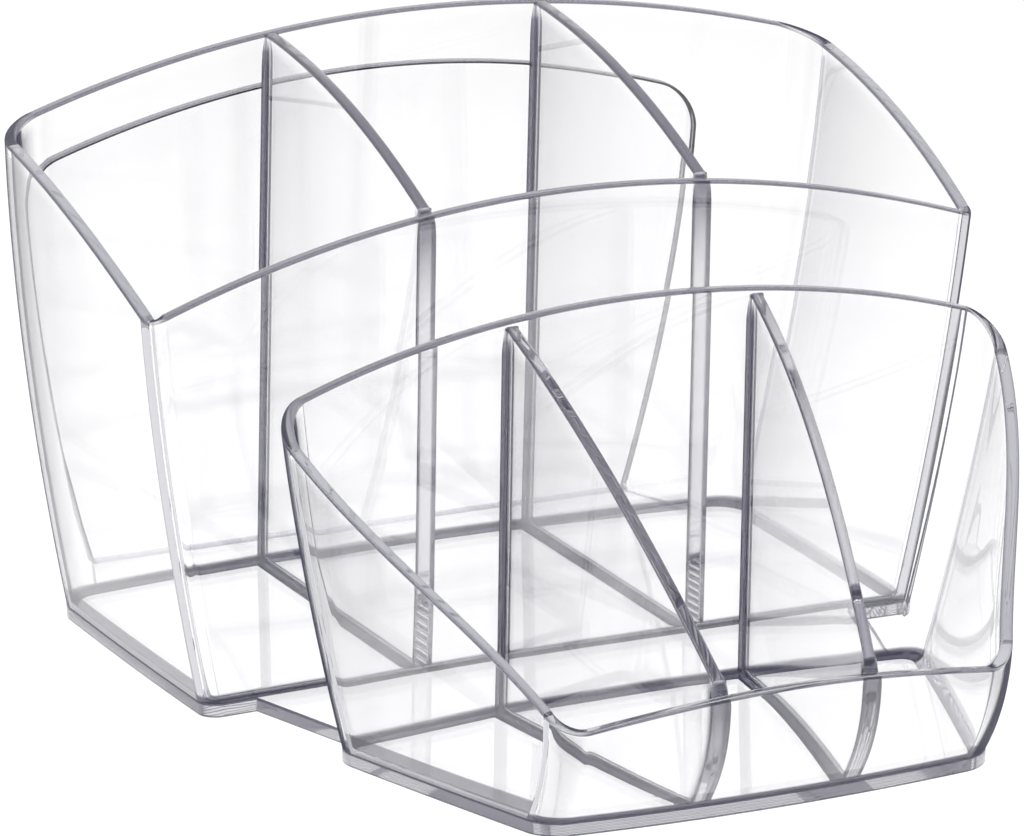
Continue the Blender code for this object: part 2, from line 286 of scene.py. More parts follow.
class FourWalls:
    """A box of four leaning walls with rounded corners.

    A place is a number that runs round the box, anticlockwise from above: 0 to
    1 is the front run, 1 to 2 the front right corner, 2 to 3 the right side,
    and so on to 8. Its rules take arrays of places and heights. front_face and
    rear_face give the centre Y of a face, and how far its ends lie ahead of it.
    divider_x gives the X of the right divider at shares of the way to the rear.
    """

    def radius(self, index):
        """Radius of the corner at which a run starts."""
        return self.front_corner if index % 4 < 2 else self.rear_corner

    def run(self, index, share, height):
        """Points and directions at shares of one straight or bowed run."""
        front_half, rear_half = self.half_widths(height)
        front_y, front_bow = self.front_face(height)
        rear_y, rear_bow = self.rear_face(height)
        front, rear = front_y - front_bow, rear_y - rear_bow
        corners = [np.stack(corner, -1) for corner in ((-front_half, front), (front_half, front),
                                                       (rear_half, rear), (-rear_half, rear))]
        bulge = self.bulge_at(height)
        bow = (-front_bow, bulge, rear_bow, bulge)[index][..., None]
        start, end = corners[index], corners[(index + 1) % 4]
        along = end - start
        distance = np.linalg.norm(along, axis=-1)
        first = self.radius(index) / distance
        last = 1.0 - self.radius(index + 1) / distance
        share = mix(first, last, share)[..., None]
        side = turned_right(along) / distance[..., None]
        point = mix(start, end, share) + side * bow * hump(share)
        direction = along + side * bow * 4 * (1 - 2 * share)
        return point, unit(direction)

    def corner(self, index, share, height):
        """Points on the rounded corner after a run."""
        handle = QUARTER_CIRCLE_HANDLE * self.radius(index + 1)
        leave, leaving = self.run(index, np.ones_like(share), height)
        arrive, arriving = self.run((index + 1) % 4, np.zeros_like(share), height)
        share = share[..., None]
        rest = 1 - share
        return (leave * rest ** 3 + (leave + leaving * handle) * 3 * rest ** 2 * share
                + (arrive - arriving * handle) * 3 * rest * share ** 2 + arrive * share ** 3)

    def outline(self, place, height):
        """XY of the outer face at places round the box."""
        place, height = np.broadcast_arrays(place, height)
        point = np.zeros(place.shape + (2,))
        segment, share = split_place(place)
        for index in np.unique(segment):
            here = segment == index
            if index % 2:
                point[here] = self.corner(index // 2, share[here], height[here])
            else:
                point[here] = self.run(index // 2, share[here], height[here])[0]
        return point

    def inward(self, place, height):
        """Level directions that point into the plastic, square to the outer face."""
        along = (self.outline(place + TANGENT_STEP, height)
                 - self.outline(place - TANGENT_STEP, height))
        return -turned_right(unit(along))

    def rim_at(self, place):
        """Height at which the outer face meets the rim, found by repetition."""
        height = np.full(place.shape, self.height)
        for _ in range(RIM_SEARCH_STEPS):
            point = self.outline(place, height)
            height = self.rim(point[..., 0], point[..., 1])
        return height

    def rim(self, x, y):
        """Height of the rim over points in plan."""
        front_y = self.front_face(np.array(self.front_height))[0]
        rear_y = self.rear_face(np.array(self.height))[0]
        share = np.clip((y - front_y) / (rear_y - front_y), 0.0, 1.0)
        front_width, rear_width = self.rim_widths()
        front = self.front_height - self.front_arch * (2 * x / front_width) ** 2
        rear = self.height - self.rear_arch * (2 * x / rear_width) ** 2
        return mix(front, rear, share) + self.swell * hump(share)

    def face_y(self, wall, x, height):
        """Y of the outer face of the front or the rear wall at places across it."""
        face, index = (self.front_face, 0) if wall == "front" else (self.rear_face, 1)
        centre, bow = face(height)
        return centre - bow * (x / self.half_widths(height)[index]) ** 2

    def corner_tint(self, place, rise):
        """Painted shade at the rounded corners, by place and share of the height."""
        segment = split_place(place)[0]
        tints = np.array(self.corner_tints)[segment // 2] * bell(place)
        return tints * mix(settings("look").corner_foot, 1.0, rise)

    def side_tint(self, place, rise):
        """Faint painted shade of the side walls that grows towards the rear."""
        segment, share = split_place(place)
        rearward = np.select([segment == RIGHT_SIDE, segment == LEFT_SIDE],
                             [share, 1.0 - share], 0.0)
        return rear_shade(rearward, rise)


class OrganizerStock(bpy.types.PropertyGroup):
    """Thicknesses, seams and roundings that the pieces share."""

    floor: length("Floor", node_top("floor"), "Thickness of the floor")
    wall: length("Wall", 0.0020, "Thickness of walls and back panel")
    divider: length("Divider", 0.0019, "Thickness of dividers")
    seam: length("Seam", 0.00006, "Gap between pieces")
    crown: length("Crown", 0.0005, "Height of a free edge's rounding")
    squareness: number("Squareness", 0.5, "1 gives an oval free edge, less a squarer one")
    fillet: length("Fillet", 0.0012, "Radius of inside corners at a foot")
    end_fillet: length("End fillet", 0.0007, "Radius of inside corners at its ends")
    end_run: length("End run", 0.0040, "Height over which it runs out")
    # Reaches of the painted shade at divider ends and feet, and height of its band at a left foot
    end_shade: length("End shade", 0.0017, "Reach of the tint at a divider's ends")
    foot_shade: length("Foot shade", 0.0013, "Reach of the tint at a foot")
    side_foot: length("Side foot", 0.0034, "Height of the tinted band at a left foot")
    foot_round: length("Foot rounding", 0.0010, "Rounding of the floor's lower edge")
    floor_bevel: length("Floor bevel", 0.0003, "Bevel of the floor's upper edge")
    slot_inset: length("Slot inset", 0.0087, "Floor edge at a slot, in from the tub's corner")


class OrganizerTub(FourWalls, bpy.types.PropertyGroup):
    """The tall box with three bays behind the open slot."""

    height: length("Height", node_top("tub_rear_wall"), "Top of the rear rim")
    front_height: length("Front height", node_top("tub_front_wall"), "Top of the front rim")
    width: length("Width", 0.1456, "Width at the highest rim")
    foot_y: length("Front foot", 0.0036, "Y of the front face at the ground")
    bay: length("Bay", 0.0639, "Depth over both walls at the ground")
    side_bulge: length("Side bulge", 0.0004, "Outward bow of a side")
    side_inset: length("Side inset", 0.0120, "How far a side is drawn in at the ground")
    side_curve: number("Side curve", 1.7, "Exponent of the side's taper")
    rear_arch: length("Rear arch", 0.0107, "Drop of the rear rim to its ends")
    front_arch: length("Front arch", 0.0131, "Drop of the front rim to its ends")
    swell: length("Rim swell", 0.0032, "Rise of a side rim over a straight line")
    front_lean: length("Front lean", 0.0030, "How far the front face leans forwards")
    rear_lean: length("Rear lean", 0.0052, "How far the rear face leans forwards")
    front_foot_bow: length("Front foot bow", 0.0013, "Bow of the front face at the ground")
    front_rim_bow: length("Front rim bow", 0.0021, "Bow of the front face at its rim")
    rear_foot_bow: length("Rear foot bow", 0.0044, "Bow of the rear face at the ground")
    rear_rim_bow: length("Rear rim bow", 0.0046, "Bow of the rear face at its rim")
    front_corner: length("Front corner", 0.0032, "Radius of the front corners")
    rear_corner: length("Rear corner", 0.0070, "Radius of the rear corners")
    divider_spacing: length("Divider spacing", 0.0474, "Between the middles of the dividers")
    # Painted shade at each rounded corner
    corner_tints: four_shares("Corner tints", (0.10, 0.0, 0.75, 0.0),
                              "From the front right corner, anticlockwise")

    def half_widths(self, height):
        half = self.width / 2 - self.side_inset * taper(height, self.height, self.side_curve)
        return half, half

    def bulge_at(self, height):
        return np.full_like(height, self.side_bulge)

    def front_face(self, height):
        share = height / self.front_height
        bow = mix(self.front_foot_bow, self.front_rim_bow, np.minimum(share, 1.0))
        return self.foot_y - self.front_lean * share, bow

    def rear_face(self, height):
        share = height / self.height
        bow = mix(self.rear_foot_bow, self.rear_rim_bow, share)
        return self.foot_y + self.bay - self.rear_lean * share, bow

    def rim_widths(self):
        return self.width, self.width

    def divider_x(self, share):
        return np.full_like(share, self.divider_spacing / 2)


class OrganizerTray(FourWalls, bpy.types.PropertyGroup):
    """The low wedge with three bays in front of the open slot."""

    height: length("Height", node_top("tray_rear_wall"), "Top of the rear rim")
    front_height: length("Front height", node_top("tray_front_wall"), "Top of the lip")
    rear_width: length("Rear width", 0.1266, "Width at the highest rim")
    front_width: length("Front width", 0.0752, "Width of the lip")
    foot_y: place_y("Front foot", -0.0694, "Y of the lip at the ground")
    bay: length("Bay", 0.0516, "Depth over both walls at the ground")
    side_inset: length("Side inset", 0.0120, "How far the rear is drawn in at the ground")
    side_curve: number("Side curve", 1.4, "Exponent of the side's taper")
    side_bulge: length("Side bulge", 0.0064, "Outward bow of a side at the highest rim")
    rear_arch: length("Rear arch", 0.0083, "Drop of the rear rim to its ends")
    front_arch: length("Front arch", 0.0080, "Drop of the lip to its ends")
    swell: length("Rim swell", 0.0054, "Rise of a side rim over a straight line")
    overhang: length("Overhang", 0.0097, "How far the lip's rim stands ahead of its foot")
    front_curve: number("Front curve", 2.2, "Exponent of the lip's curve")
    rear_lean: length("Rear lean", 0.0025, "How far the rear face leans forwards")
    rear_bow: length("Rear bow", 0.0036, "Bow of the rear face")
    front_foot_bow: length("Front foot bow", 0.0023, "Bow of the lip at the ground")
    front_rim_bow: length("Front rim bow", 0.0032, "Bow of the lip at its rim")
    front_corner: length("Front corner", 0.0040, "Radius of the front corners")
    rear_corner: length("Rear corner", 0.0060, "Radius of the rear corners")
    divider_rear: length("Rear spacing", 0.0417, "Between the dividers at the rear wall")
    divider_front: length("Front spacing", 0.0252, "Between the dividers at the lip")
    divider_bow: length("Divider bow", 0.0010, "Outward bow of a divider")
    # Painted shade at each rounded corner
    corner_tints: four_shares("Corner tints", (0.7, 0.0, 0.6, 0.25),
                              "From the front right corner, anticlockwise")

    def half_widths(self, height):
        inset = self.side_inset * taper(height, self.height, self.side_curve)
        return np.full_like(height, self.front_width / 2), self.rear_width / 2 - inset

    def bulge_at(self, height):
        return self.side_bulge * height / self.height

    def front_face(self, height):
        share = 1.0 - taper(height, self.front_height, self.front_curve)
        bow = mix(self.front_foot_bow, self.front_rim_bow, share)
        return self.foot_y - self.overhang * share, -bow

    def rear_face(self, height):
        centre = self.foot_y + self.bay - self.rear_lean * height / self.height
        return centre, np.full_like(height, self.rear_bow)

    def rim_widths(self):
        return self.front_width, self.rear_width

    def divider_x(self, share):
        half = mix(self.divider_front, self.divider_rear, share) / 2
        return half + self.divider_bow * hump(share)


class OrganizerPanel(bpy.types.PropertyGroup):
    """The flat back panel with an arched top and round shoulders."""

    height: length("Height", node_top("back_panel"), "Top of the arch")
    width: length("Width", 0.1212, "Width at the shoulders")
    back_y: length("Back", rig.box("back_panel")[1].y, "Y of the rear face")
    side_inset: length("Side inset", 0.0135, "How far a side is drawn in at the ground")
    side_curve: number("Side curve", 1.6, "Exponent of the side's taper")
    arch: length("Arch", 0.0110, "Drop of the top to the shoulders")
    corner: length("Corner", 0.0065, "Radius of the shoulders")


class OrganizerDetail(bpy.types.PropertyGroup):
    """How finely the pieces are divided."""

    long_columns: count("Long columns", 96, "Steps along a front or rear wall")
    side_columns: count("Side columns", 64, "Steps along a side wall")
    corner_columns: count("Corner columns", 12, "Steps round a corner")
    rows: count("Rows", 36, "Steps up a wall")
    fillet_rows: count("Fillet rows", 7, "Steps round an inside corner")
    edge_steps: count("Edge steps", 15, "Points across a rounded free edge")
    floor_steps: count("Floor steps", 24, "Steps of the floor's outline for each place")
    round_steps: count("Rounding steps", 6, "Steps round the floor's lower edge")
    bevel_steps: count("Bevel steps", 2, "Steps across the bevel of its upper edge")
    hold: length("Hold", 0.00012, "Strip that keeps a face flat by a rounding")
    sharp: angle("Sharp", math.radians(40.0), "Turn over which an edge is shaded sharp")


class OrganizerLook(bpy.types.PropertyGroup):
    """Colours and finish of the clear plastic, with painted shade, a painted highlight and painted glow."""

    clear: colour("Clear", (0.997, 0.997, 1.0, 1.0), "Tint of a surface")
    # Painted shade: grey violet colour of the dark lines on rims, feet, divider ends, corners and floor edges
    edge: colour("Edge", (0.105, 0.10, 0.135, 1.0), "Tint of inside corners and free edges")
    # Painted shade on the free edges, less in their middle and at a corner
    rim: number("Rim", 1.25, "Edge tint on the free edges")
    rim_core: number("Rim core", 0.32, "Share of it in the middle of an edge")
    rim_corner: number("Rim corner", 0.45, "Share of it taken away at a corner")
    # Painted shade in the middle of a divider's end, and more at the top of a front end
    end_core: number("End core", 0.12, "Edge tint in the middle of a divider's end")
    end_top: number("End top", 1.3, "Tint added at the top of a front end")
    end_reach: length("End reach", 0.016, "How far down that tint reaches")
    # Painted shade along the feet, in the creases by the floor
    foot: number("Foot", 1.25, "Edge tint on the line along a foot")
    side_stroke: number("Side stroke", 0.75, "The same along a side wall")
    # Painted shade down a divider's ends
    end: number("End", 1.15, "Edge tint down a divider's ends")
    # Painted shade in the middle of a foot, and on a band along a left foot
    foot_core: number("Foot core", 0.4, "Edge tint in the middle of a foot")
    side_foot: number("Side foot", 0.75, "Edge tint on the band at a left foot")
    # Share of a corner's painted shade at its foot
    corner_foot: number("Corner foot", 0.4, "Share of a corner's tint at its foot")
    # Painted shade toward the upper rear of side walls and dividers
    side_haze: number("Side haze", 0.42, "Edge tint at the rear end of a side wall")
    low_haze: number("Low haze", 0.3, "Share of that haze at the foot")
    # Painted shade on the floor's upright faces and its rounding
    floor_edge: number("Floor edge", 0.25, "Edge tint on the floor's upright faces")
    floor_round: number("Floor rounding", 1.2, "Edge tint on the floor's rounding")
    # Painted shade: a faint shade over a face near its edges
    haze: number("Haze", 0.05, "Edge tint on a face near its edges")
    haze_reach: length("Haze reach", 0.020, "How far the haze reaches")
    # Painted highlight: a pale strip beside an edge, kept free of painted shade
    border: length("Border", 0.0030, "Width of the pale border beside an edge")
    depth_tint: colour("Depth tint", (0.28, 0.27, 0.36, 1.0), "Light after a long way inside")
    density: number("Density", 2.5, "How fast the plastic darkens, per metre")
    ior: number("Index of refraction", 1.59, "Bending of light")
    # Painted glow: emitted light on the faces at a seam
    weld: colour("Weld", (0.70, 0.70, 0.74, 1.0), "Light along a wall at a seam")
    # Painted glow: an even emitted colour for light after many bounces
    trap_depth: number("Trap depth", 24.0, "Bounces after which light is trapped")
    trap: colour("Trapped light", (0.46, 0.45, 0.50, 1.0), "Even colour of trapped light")
    # Painted shade: an opaque dark colour where the painted shade is strong
    dusk: colour("Dusk", (0.05, 0.05, 0.085, 1.0), "Colour too deep to see through")
    dusk_share: number("Dusk share", 0.8, "How much of the view that colour covers")
    dusk_from: number("Dusk from", 1.0, "Gathered tint where it sets in")
    dusk_full: number("Dusk full", 1.5, "Gathered tint where it is full")
    dusk_roughness: number("Dusk roughness", 0.6, "Roughness of that colour")
    # Painted shade on a rounded corner's outline, where it is seen edge on
    edge_on: number("Edge on", 0.52, "How edge on a corner darkens")
    edge_full: number("Edge full", 0.63, "How edge on it is darkest")
    edge_share: number("Edge share", 0.9, "How dark it gets")
    edge_depth: number("Edge depth", 4.0, "Bounces after which it darkens no more")
    shadow: colour("Shadow", (0.994, 0.994, 0.996, 1.0), "Light that a surface lets through")


class OrganizerStudio(bpy.types.PropertyGroup):
    """Camera, floor and light."""

    azimuth: angle("Azimuth", math.radians(25.55), "Camera's turn from the front to the left")
    elevation: angle("Elevation", math.radians(17.22), "Camera's height over the level")
    distance: length("Distance", 1.378, "From the camera to its target")
    focal_pixels: number("Focal length", 8875.9, "In pixels of the image's width")
    target: spot("Target", (-0.0097, 0.0006, 0.0425), "What the camera looks at")
    floor_radius: length("Floor radius", 4.0, "Radius of the studio floor")
    floor_drop: length("Floor drop", 0.0002, "How far it lies under the organizer")
    floor_white: colour("Floor", (0.90, 0.90, 0.90, 1.0), "Colour of the studio floor")
    floor_glow: number("Floor glow", 0.16, "Light of its own, as seen")
    zenith: colour("Zenith", (0.60, 0.59, 0.66, 1.0), "What plastic and gloss see overhead")
    zenith_from: number("Zenith from", 0.45, "Sine of the height where it sets in")
    zenith_full: number("Zenith full", 0.75, "Sine of the height where it is full")
    sky_light: number("Sky light", 0.75, "Strength of the light from all round")
    lamp_place: spot("Lamp", (-0.7, -0.5, 1.1), "Place of the soft box")
    lamp_width: length("Lamp width", 0.9, "Width of the soft box")
    lamp_depth: length("Lamp depth", 0.6, "Depth of the soft box")
    lamp_power: number("Lamp power", 9.0, "Power of the soft box in watts")
    bounces: count("Bounces", 26, "Bounces that light may take")


def math_operator(operation):
    """An operator and its reflected form, each of which adds a Math node."""
    def forward(self, other):
        return self.calc(operation, self, other)

    def reflected(self, other):
        return self.calc(operation, other, self)
    return forward, reflected


class Link:
    """A socket that can be used in sums. An upright bar takes the larger of two values."""

    __add__, __radd__ = math_operator("ADD")
    __sub__, __rsub__ = math_operator("SUBTRACT")
    __pow__, __rpow__ = math_operator("POWER")
    __or__, __ror__ = math_operator("MAXIMUM")
    __gt__, __lt__ = math_operator("GREATER_THAN")

    def __init__(self, bench, socket):
        self.bench = bench
        self.socket = socket

    def calc(self, operation, *values):
        kind = "ShaderNodeVectorMath" if self.socket.type == "VECTOR" else "ShaderNodeMath"
        return self.bench.add(kind, {"operation": operation}, values)

    def __mul__(self, other):
        if self.socket.type == "VECTOR":
            return self.bench.add("ShaderNodeVectorMath", {"operation": "SCALE"},
                                  {"Vector": self, "Scale": other})
        return self.calc("MULTIPLY", self, other)

    def __rmul__(self, other):
        return self * other

    def __abs__(self):
        return self.calc("ABSOLUTE", self)

    def __round__(self):
        return self.calc("ROUND", self)


class Bench:
    """Adds nodes to a tree and joins them."""

    def __init__(self, tree):
        self.tree = tree

    def add(self, kind, setup=None, values=(), output=0):
        """One node: its settings first, then the values or links of its inputs.

        output is the socket that is returned, or a tuple of several.
        """
        node = self.tree.nodes.new(kind)
        for setting, value in (setup or {}).items():
            setattr(node, setting, value)
        pairs = values.items() if isinstance(values, dict) else enumerate(values)
        for key, value in pairs:
            if isinstance(value, Link):
                self.tree.links.new(value.socket, node.inputs[key])
            else:
                node.inputs[key].default_value = value
        if isinstance(output, tuple):
            return [Link(self, node.outputs[key]) for key in output]
        return Link(self, node.outputs[output]) if node.outputs else None


PLATE_SOCKETS = {"Geometry": "Geometry", "Columns": "Int", "Rows": "Int", "Steps": "Int",
                 "Crown": "Float", "Squareness": "Float", "Material": "Material"}


def plate_tree():
    """The tree that closes a sheet into a plate with rounded free edges.

    A box of Columns by Steps by Rows points is laid over the sheet: its long
    sides become the two faces, and its short sides the edges between them. The
    sheet's points carry two vectors. across leads from the outer to the inner
    face, and bulge points out of a free edge and is zero at a seam. They also
    carry gather, the painted shade for the faces, core, the painted shade
    for the middle of the edges or a seam mark, and turn.
    """
    tree = bpy.data.node_groups.new("Moulded plate", "GeometryNodeTree")
    for name, kind in PLATE_SOCKETS.items():
        tree.interface.new_socket(name, in_out="INPUT", socket_type="NodeSocket" + kind)
    tree.interface.new_socket("Geometry", in_out="OUTPUT", socket_type="NodeSocketGeometry")
    bench = Bench(tree)
    sheet, columns, rows, steps, crown, square, material = bench.add(
        "NodeGroupInput", output=tuple(PLATE_SOCKETS))

    box = bench.add("GeometryNodeMeshCube", values={"Vertices X": columns, "Vertices Y": steps,
                                                    "Vertices Z": rows})
    place = bench.add("GeometryNodeInputPosition")
    along, through, up = bench.add("ShaderNodeSeparateXYZ", values=(place,),
                                   output=("X", "Y", "Z"))
    index = round((up + 0.5) * (rows - 1)) * columns + round((along + 0.5) * (columns - 1))

    def read(field, kind="FLOAT_VECTOR"):
        """What the sheet holds at this point's row and column."""
        return bench.add("GeometryNodeSampleIndex", {"data_type": kind},
                         {"Geometry": sheet, "Value": field, "Index": index})

    def carried(name, kind="FLOAT_VECTOR"):
        """What the sheet carries there under a name."""
        named = bench.add("GeometryNodeInputNamedAttribute", {"data_type": kind}, {"Name": name})
        return read(named, kind)

    def store(geometry, name, value):
        return bench.add("GeometryNodeStoreNamedAttribute",
                         {"data_type": "FLOAT", "domain": "POINT"},
                         {"Geometry": geometry, "Name": name, "Value": value})

    sweep = through * math.pi
    sine = sweep.calc("SINE", sweep)
    cosine = sweep.calc("COSINE", sweep) | 0.0
    side = sine.calc("SIGN", sine)
    away = abs(sine) ** square
    depth = (side * away + 1.0) * 0.5
    lift = cosine ** square
    moved = read(place) + carried("across") * depth + carried("bulge") * (lift * crown)
    core = carried("core", "FLOAT")
    gather = core + (carried("gather", "FLOAT") - core) * away ** CORE_POWER
    marked = store(box, "gather", gather)
    turned = store(marked, "turn", carried("turn", "FLOAT"))
    shaped = bench.add("GeometryNodeSetPosition", values={"Geometry": turned, "Position": moved})
    smooth = bench.add("GeometryNodeSetShadeSmooth", values={"Geometry": shaped})
    real = bench.add("GeometryNodeRealizeInstances", values={"Geometry": smooth})
    done = bench.add("GeometryNodeSetMaterial", values={"Geometry": real, "Material": material})
    bench.add("NodeGroupOutput", values={"Geometry": done})
    return tree


def new_object(name, data):
    """An object in the scene for a mesh, a lamp or a camera."""
    made = bpy.data.objects.new(name, data)
    bpy.context.scene.collection.objects.link(made)
    return made


def plain_piece(name, mesh):
    """A finished piece at the origin that stands for the CAD node of its name."""
    mesh.name = name + "_mesh"
    mesh.materials.clear()
    mesh.materials.append(clear_material())
    piece = new_object("clear_" + name, mesh)
    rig.ride(piece, "root")
    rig.replaces(piece, name)
    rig.slot(piece, name)


def plate(name, outer, across, bulge, gather, core, turn):
    """Close a sheet into the solid piece that stands for a CAD node.

    The arrays are rows by columns, by three for vectors. Rows go up, and
    columns run so that the inward side lies to their left.
    """
    detail, stock = settings("detail"), settings("stock")
    rows, columns = outer.shape[:2]
    sheet = bpy.data.meshes.new(name + "_sheet")
    quads = [(row * columns + column, row * columns + column + 1,
              (row + 1) * columns + column + 1, (row + 1) * columns + column)
             for row in range(rows - 1) for column in range(columns - 1)]
    sheet.from_pydata(outer.reshape(-1, 3).tolist(), [], quads)
    for label, vectors in (("across", across), ("bulge", bulge)):
        attribute = sheet.attributes.new(label, "FLOAT_VECTOR", "POINT")
        attribute.data.foreach_set("vector", vectors.reshape(-1).astype(np.float32))
    for label, values in (("gather", gather), ("core", core), ("turn", turn)):
        attribute = sheet.attributes.new(label, "FLOAT", "POINT")
        attribute.data.foreach_set("value", values.reshape(-1).astype(np.float32))
    guide = new_object(name + "_sheet", sheet)

    tree = bpy.data.node_groups.get("Moulded plate") or plate_tree()
    modifier = guide.modifiers.new("Moulded plate", "NODES")
    modifier.node_group = tree
    inputs = {"Columns": columns, "Rows": rows, "Steps": detail.edge_steps, "Crown": stock.crown,
              "Squareness": stock.squareness, "Material": clear_material()}
    for item in tree.interface.items_tree:
        if item.in_out == "INPUT" and item.name in inputs:
            modifier[item.identifier] = inputs[item.name]
    evaluated = guide.evaluated_get(bpy.context.evaluated_depsgraph_get())
    mesh = bpy.data.meshes.new_from_object(evaluated)
    guide.modifiers.clear()
    bpy.data.objects.remove(guide, do_unlink=True)
    mesh.set_sharp_from_angle(angle=detail.sharp)
    plain_piece(name, mesh)


def arc_stops(radius, steps):
    """Distances from a corner that divide its fillet into even turns."""
    return radius * (1 - np.cos(np.linspace(0.0, math.pi / 2, steps + 1)))


def flare(distance, fillet):
    """Extra thickness beside an inside corner, by the distance from it."""
    short = np.clip(fillet - distance, 0.0, None)
    return fillet - np.sqrt(np.maximum(fillet ** 2 - short ** 2, 0.0))


def wall_foot(stock):
    """Height at which the walls begin."""
    return stock.floor + stock.seam


def climb(foot, top, stock, detail):
    """Heights up a wall, close together at its foot and just below its top.

    foot and top are arrays, one value for each column.
    """
    low = foot + arc_stops(stock.fillet, detail.fillet_rows)[:, None]
    start = low[-1] + detail.hold
    band = foot + stock.side_foot
    middle = mix(band + detail.hold, top - detail.hold,
                 np.linspace(0.0, 1.0, detail.rows)[:, None])
    return np.concatenate([low, start[None], band[None], middle, top[None]])


def wall_places(detail, first, last):
    """Places along a wall, in the steps of its runs and corners."""
    steps = (detail.long_columns, detail.corner_columns, detail.side_columns,
             detail.corner_columns)
    places = [segment + np.arange(steps[segment % 4]) / steps[segment % 4]
              for segment in range(first, last)]
    return np.concatenate(places + [[last]])


def box_wall(name, box, first, last):
    """One wall of the tub or the tray, between two places of its outline."""
    stock, detail, look = settings("stock"), settings("detail"), settings("look")
    places = wall_places(detail, first, last)
    rim = box.rim_at(places)
    foot = np.full_like(rim, wall_foot(stock))
    height = climb(foot, rim - stock.crown, stock, detail)
    place = np.broadcast_to(places, height.shape)
    point = box.outline(place, height)
    inward = box.inward(place, height)
    along = turned_right(inward)
    point[:, 0] += along[:, 0] * stock.seam / 2
    point[:, -1] -= along[:, -1] * stock.seam / 2

    over_foot, below_rim, rise = height - foot, rim - height, height / rim
    thickness = stock.wall + flare(over_foot, stock.fillet)
    outer = np.dstack([point, height])
    across = np.dstack([inward * thickness[..., None], np.zeros_like(height)])
    bulge = np.zeros_like(outer)
    bulge[-1, :, 2] = 1.0
    # Painted shade: dark strokes along the foot, soft shade under the rim, shade at the corners and toward the rear of
    # a side wall
    foot_dark = look.side_stroke if first in (RIGHT_SIDE, LEFT_SIDE) else look.foot
    gather = strongest(foot_dark * stroke(over_foot, stock.foot_shade), haze(below_rim),
                       box.corner_tint(place, rise),
                       box.side_tint(place, rise) * border(below_rim))
    # Painted shade: a grey band along the left wall's foot
    if first == LEFT_SIDE:
        band = np.where(over_foot <= stock.side_foot, look.side_foot, 0.0)
        gather = np.maximum(gather, band)
    # Painted shade along the rim, lighter at the corners
    gather[-2] = 0.0
    gather[-1] = look.rim * (1.0 - look.rim_corner * bell(places))
    core = np.full_like(gather, look.foot_core)
    core[-1] = gather[-1] * look.rim_core
    # Marks the seam ends for the painted glow
    core[:-2, [0, -1]] = SEAM_MARK
    # Marks the rounded corners for their painted shade seen edge on
    turn = np.minimum(TURN_SLOPE * bell(place), 1.0)
    plate(name, outer, across, bulge, gather, core, turn)


def divider(name, box, side):
    """An upright plate between the front and rear walls, on the left (-1) or right (1)."""
    stock, detail, look = settings("stock"), settings("detail"), settings("look")
    bay = box.bay - 2 * stock.wall
    ends = arc_stops(stock.end_fillet, detail.fillet_rows) / bay
    middle = np.linspace(ends[-1] + detail.hold / bay, 1 - ends[-1] - detail.hold / bay,
                         detail.side_columns)
    shares = np.concatenate([ends, middle, 1 - ends[::-1]])

    def y_at(x, height, share):
        inset = stock.wall + flare(height - wall_foot(stock), stock.fillet) + stock.seam
        front = box.face_y("front", x, height) + inset
        rear = box.face_y("rear", x, height) - inset
        return mix(front, rear, share)

    middle_x = side * box.divider_x(shares)
    top = np.full_like(shares, box.height)
    for _ in range(RIM_SEARCH_STEPS):
        top = box.rim(middle_x, y_at(middle_x, top, shares))
    foot = np.full_like(top, wall_foot(stock))
    height = climb(foot, top - stock.crown, stock, detail)
    share = np.broadcast_to(shares, height.shape)
    from_end = np.minimum(share, 1 - share) * bay
    below_rim = top - height
    end_share = np.clip(below_rim / stock.end_run, 0.0, 1.0) ** END_POWER
    half = stock.divider / 2 + np.maximum(flare(from_end, stock.end_fillet) * end_share,
                                          flare(height - foot, stock.fillet))

    faces = []
    for offset in (half, -half):
        x = middle_x + offset
        faces.append(np.dstack([x, y_at(x, height, share), height]))
    bulge = np.zeros_like(faces[0])
    bulge[-1, :, 2] = 1.0
    # Painted shade: dark strokes along the foot and down the ends, and shade toward the upper rear
    gather = strongest(look.foot * stroke(height - foot, stock.foot_shade),
                       look.end * stroke(from_end, stock.end_shade) * end_share,
                       rear_shade(share, height / top) * border(below_rim) * border(from_end))
    # Painted shade along the rim
    gather[-2, 1:-1] = 0.0
    gather[-1] = look.rim
    core = np.full_like(gather, look.foot_core)
    # Painted shade in the middle of the ends, more at the top of a front end
    core[1:, -1] = look.end_core
    core[1:, 0] = look.end_core + look.end_top * fade(below_rim[1:, 0], look.end_reach)
    core[-1] = look.rim * look.rim_core
    plate(name, faces[0], faces[1] - faces[0], bulge, gather, core, np.zeros_like(gather))


